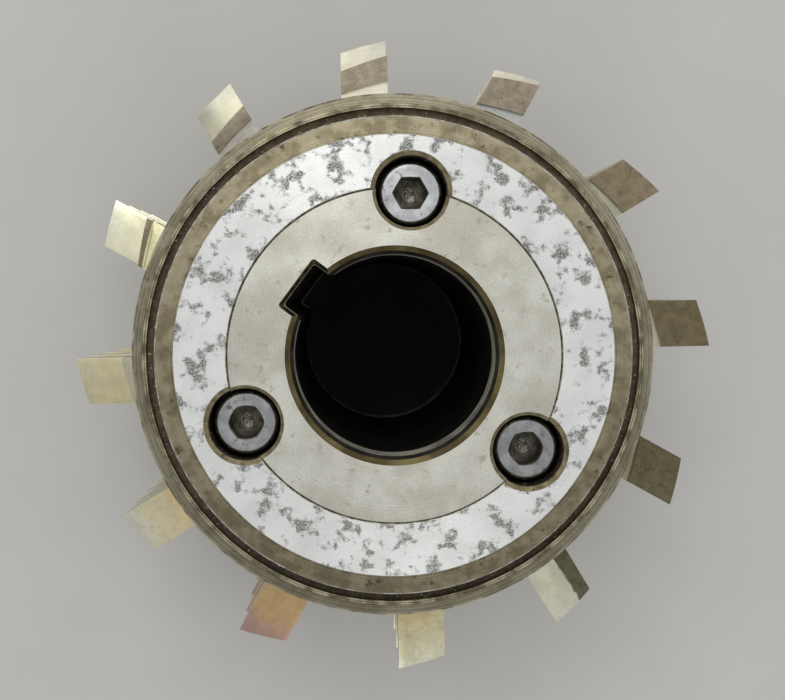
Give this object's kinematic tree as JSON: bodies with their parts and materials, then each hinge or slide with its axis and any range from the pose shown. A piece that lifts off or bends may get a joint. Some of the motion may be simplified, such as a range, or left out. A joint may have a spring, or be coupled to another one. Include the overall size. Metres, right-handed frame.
{
  "type": "inserted-tooth milling cutter",
  "caption": "Arbor-mounted milling cutter: a keyed-bore hub holding form-relieved toothed racks in axial slots, closed at each end by a screwed cover and a retaining ring.",
  "frame": {"origin": "on the bore axis, in the plane of the rear hub face", "axes": "+Z along the bore axis towards the front face; the front face is seen looking along -Z; racks are numbered clockwise as seen from the front, the first on the +X side"},
  "size_m": [0.132, 0.132, 0.072],
  "materials": {
    "hub_steel": "matte, lightly stained steel",
    "cover_steel": "ground steel with small dark rust pits",
    "ring_steel": "turned steel with a brown patina",
    "rack_steel": "ground tool steel, pale straw tint",
    "screw_steel": "black oxide, worn bright on the head",
    "washer_steel": "plain spring steel"
  },
  "bodies": {
    "hub": {"hub_body": "hub_steel"},
    "rack_01": {"rack_01": "rack_steel"},
    "rack_02": {"rack_02": "rack_steel"},
    "rack_03": {"rack_03": "rack_steel"},
    "rack_04": {"rack_04": "rack_steel"},
    "rack_05": {"rack_05": "rack_steel"},
    "rack_06": {"rack_06": "rack_steel"},
    "rack_07": {"rack_07": "rack_steel"},
    "rack_08": {"rack_08": "rack_steel"},
    "rack_09": {"rack_09": "rack_steel"},
    "rack_10": {"rack_10": "rack_steel"},
    "rack_11": {"rack_11": "rack_steel"},
    "rack_12": {"rack_12": "rack_steel"},
    "front_cover": {"front_cover": "cover_steel"},
    "front_ring": {"front_ring": "ring_steel"},
    "front_washer_1": {"front_washer_1": "washer_steel"},
    "front_screw_1": {"front_screw_1": "screw_steel"},
    "front_washer_2": {"front_washer_2": "washer_steel"},
    "front_screw_2": {"front_screw_2": "screw_steel"},
    "front_washer_3": {"front_washer_3": "washer_steel"},
    "front_screw_3": {"front_screw_3": "screw_steel"},
    "rear_cover": {"rear_cover": "cover_steel"},
    "rear_ring": {"rear_ring": "ring_steel"},
    "rear_washer_1": {"rear_washer_1": "washer_steel"},
    "rear_screw_1": {"rear_screw_1": "screw_steel"},
    "rear_washer_2": {"rear_washer_2": "washer_steel"},
    "rear_screw_2": {"rear_screw_2": "screw_steel"},
    "rear_washer_3": {"rear_washer_3": "washer_steel"},
    "rear_screw_3": {"rear_screw_3": "screw_steel"}
  },
  "joints": [
    {"name": "front_cover_lift", "type": "slide", "parent": "hub", "child": "front_cover", "axis": [0, 0, 1], "range_m": [0, 0.12]},
    {"name": "front_ring_lift", "type": "slide", "parent": "hub", "child": "front_ring", "axis": [0, 0, 1], "range_m": [0, 0.09]},
    {"name": "rack_01_draw", "type": "slide", "parent": "hub", "child": "rack_01", "axis": [0, 0, 1], "range_m": [0, 0.06]},
    {"name": "rack_02_draw", "type": "slide", "parent": "hub", "child": "rack_02", "axis": [0, 0, 1], "range_m": [0, 0.06]},
    {"name": "rack_03_draw", "type": "slide", "parent": "hub", "child": "rack_03", "axis": [0, 0, 1], "range_m": [0, 0.06]},
    {"name": "rack_04_draw", "type": "slide", "parent": "hub", "child": "rack_04", "axis": [0, 0, 1], "range_m": [0, 0.06]},
    {"name": "rack_05_draw", "type": "slide", "parent": "hub", "child": "rack_05", "axis": [0, 0, 1], "range_m": [0, 0.06]},
    {"name": "rack_06_draw", "type": "slide", "parent": "hub", "child": "rack_06", "axis": [0, 0, 1], "range_m": [0, 0.06]},
    {"name": "rack_07_draw", "type": "slide", "parent": "hub", "child": "rack_07", "axis": [0, 0, 1], "range_m": [0, 0.06]},
    {"name": "rack_08_draw", "type": "slide", "parent": "hub", "child": "rack_08", "axis": [0, 0, 1], "range_m": [0, 0.06]},
    {"name": "rack_09_draw", "type": "slide", "parent": "hub", "child": "rack_09", "axis": [0, 0, 1], "range_m": [0, 0.06]},
    {"name": "rack_10_draw", "type": "slide", "parent": "hub", "child": "rack_10", "axis": [0, 0, 1], "range_m": [0, 0.06]},
    {"name": "rack_11_draw", "type": "slide", "parent": "hub", "child": "rack_11", "axis": [0, 0, 1], "range_m": [0, 0.06]},
    {"name": "rack_12_draw", "type": "slide", "parent": "hub", "child": "rack_12", "axis": [0, 0, 1], "range_m": [0, 0.06]},
    {"name": "rear_cover_lift", "type": "slide", "parent": "hub", "child": "rear_cover", "axis": [0, 0, -1], "range_m": [0, 0.12]},
    {"name": "rear_ring_lift", "type": "slide", "parent": "hub", "child": "rear_ring", "axis": [0, 0, -1], "range_m": [0, 0.09]},
    {"name": "front_screw_1_rise", "type": "slide", "parent": "front_cover", "child": "front_washer_1", "axis": [0, 0, 1], "range_m": [0, 0.0125]},
    {"name": "front_screw_1_turn", "type": "hinge", "parent": "front_washer_1", "child": "front_screw_1", "pos_m": [0.00315, 0.03215, 0.0612], "axis": [0, 0, 1], "range_deg": [0, 3600]},
    {"name": "front_screw_2_rise", "type": "slide", "parent": "front_cover", "child": "front_washer_2", "axis": [0, 0, 1], "range_m": [0, 0.0125]},
    {"name": "front_screw_2_turn", "type": "hinge", "parent": "front_washer_2", "child": "front_screw_2", "pos_m": [-0.02942, -0.01334, 0.0612], "axis": [0, 0, 1], "range_deg": [0, 3600]},
    {"name": "front_screw_3_rise", "type": "slide", "parent": "front_cover", "child": "front_washer_3", "axis": [0, 0, 1], "range_m": [0, 0.0125]},
    {"name": "front_screw_3_turn", "type": "hinge", "parent": "front_washer_3", "child": "front_screw_3", "pos_m": [0.02626, -0.0188, 0.0612], "axis": [0, 0, 1], "range_deg": [0, 3600]},
    {"name": "rear_screw_1_rise", "type": "slide", "parent": "rear_cover", "child": "rear_washer_1", "axis": [0, 0, -1], "range_m": [0, 0.0125]},
    {"name": "rear_screw_1_turn", "type": "hinge", "parent": "rear_washer_1", "child": "rear_screw_1", "pos_m": [0.00315, 0.03215, 0.0108], "axis": [0, 0, -1], "range_deg": [0, 3600]},
    {"name": "rear_screw_2_rise", "type": "slide", "parent": "rear_cover", "child": "rear_washer_2", "axis": [0, 0, -1], "range_m": [0, 0.0125]},
    {"name": "rear_screw_2_turn", "type": "hinge", "parent": "rear_washer_2", "child": "rear_screw_2", "pos_m": [-0.02942, -0.01334, 0.0108], "axis": [0, 0, -1], "range_deg": [0, 3600]},
    {"name": "rear_screw_3_rise", "type": "slide", "parent": "rear_cover", "child": "rear_washer_3", "axis": [0, 0, -1], "range_m": [0, 0.0125]},
    {"name": "rear_screw_3_turn", "type": "hinge", "parent": "rear_washer_3", "child": "rear_screw_3", "pos_m": [0.02626, -0.0188, 0.0108], "axis": [0, 0, -1], "range_deg": [0, 3600]}
  ],
  "couplings": [
    {"joint": "front_ring_lift", "follows": "front_cover_lift", "ratio": 0.75},
    {"joint": "rack_01_draw", "follows": "front_cover_lift", "ratio": 0.5},
    {"joint": "rack_02_draw", "follows": "front_cover_lift", "ratio": 0.5},
    {"joint": "rack_03_draw", "follows": "front_cover_lift", "ratio": 0.5},
    {"joint": "rack_04_draw", "follows": "front_cover_lift", "ratio": 0.5},
    {"joint": "rack_05_draw", "follows": "front_cover_lift", "ratio": 0.5},
    {"joint": "rack_06_draw", "follows": "front_cover_lift", "ratio": 0.5},
    {"joint": "rack_07_draw", "follows": "front_cover_lift", "ratio": 0.5},
    {"joint": "rack_08_draw", "follows": "front_cover_lift", "ratio": 0.5},
    {"joint": "rack_09_draw", "follows": "front_cover_lift", "ratio": 0.5},
    {"joint": "rack_10_draw", "follows": "front_cover_lift", "ratio": 0.5},
    {"joint": "rack_11_draw", "follows": "front_cover_lift", "ratio": 0.5},
    {"joint": "rack_12_draw", "follows": "front_cover_lift", "ratio": 0.5},
    {"joint": "rear_ring_lift", "follows": "rear_cover_lift", "ratio": 0.75},
    {"joint": "front_screw_1_turn", "follows": "front_screw_1_rise", "rad_per_m": 5026.5},
    {"joint": "front_screw_2_turn", "follows": "front_screw_2_rise", "rad_per_m": 5026.5},
    {"joint": "front_screw_3_turn", "follows": "front_screw_3_rise", "rad_per_m": 5026.5},
    {"joint": "rear_screw_1_turn", "follows": "rear_screw_1_rise", "rad_per_m": 5026.5},
    {"joint": "rear_screw_2_turn", "follows": "rear_screw_2_rise", "rad_per_m": 5026.5},
    {"joint": "rear_screw_3_turn", "follows": "rear_screw_3_rise", "rad_per_m": 5026.5}
  ]
}
